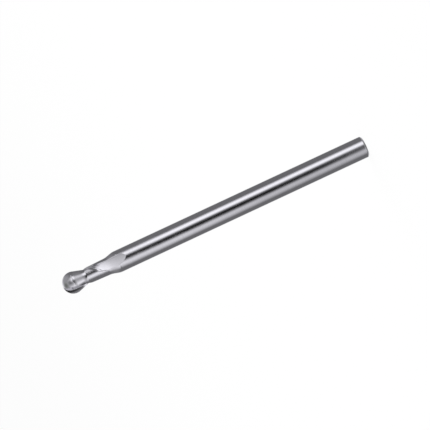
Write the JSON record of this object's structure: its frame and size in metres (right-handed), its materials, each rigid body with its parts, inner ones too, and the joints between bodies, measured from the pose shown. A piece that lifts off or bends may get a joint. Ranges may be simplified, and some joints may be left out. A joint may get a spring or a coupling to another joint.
{
  "type": "ball end mill",
  "caption": "Solid carbide ball end mill with a plain round shank, a slimmer neck, a spherical head that is as wide as the shank, and two flutes that run out into the shank.",
  "frame": {"origin": "centre of the flat end of the shank, on which the tool stands", "axes": "+Z along the tool's axis, from the end of the shank to the tip of the ball; seen from the tip the tool cuts turning anticlockwise, which is positive about +Z"},
  "size_m": [0.006, 0.006, 0.09],
  "materials": {
    "ground_carbide": "finely ground bright tungsten carbide, uncoated"
  },
  "bodies": {
    "root": {"cutter": "ground_carbide"}
  },
  "joints": []
}
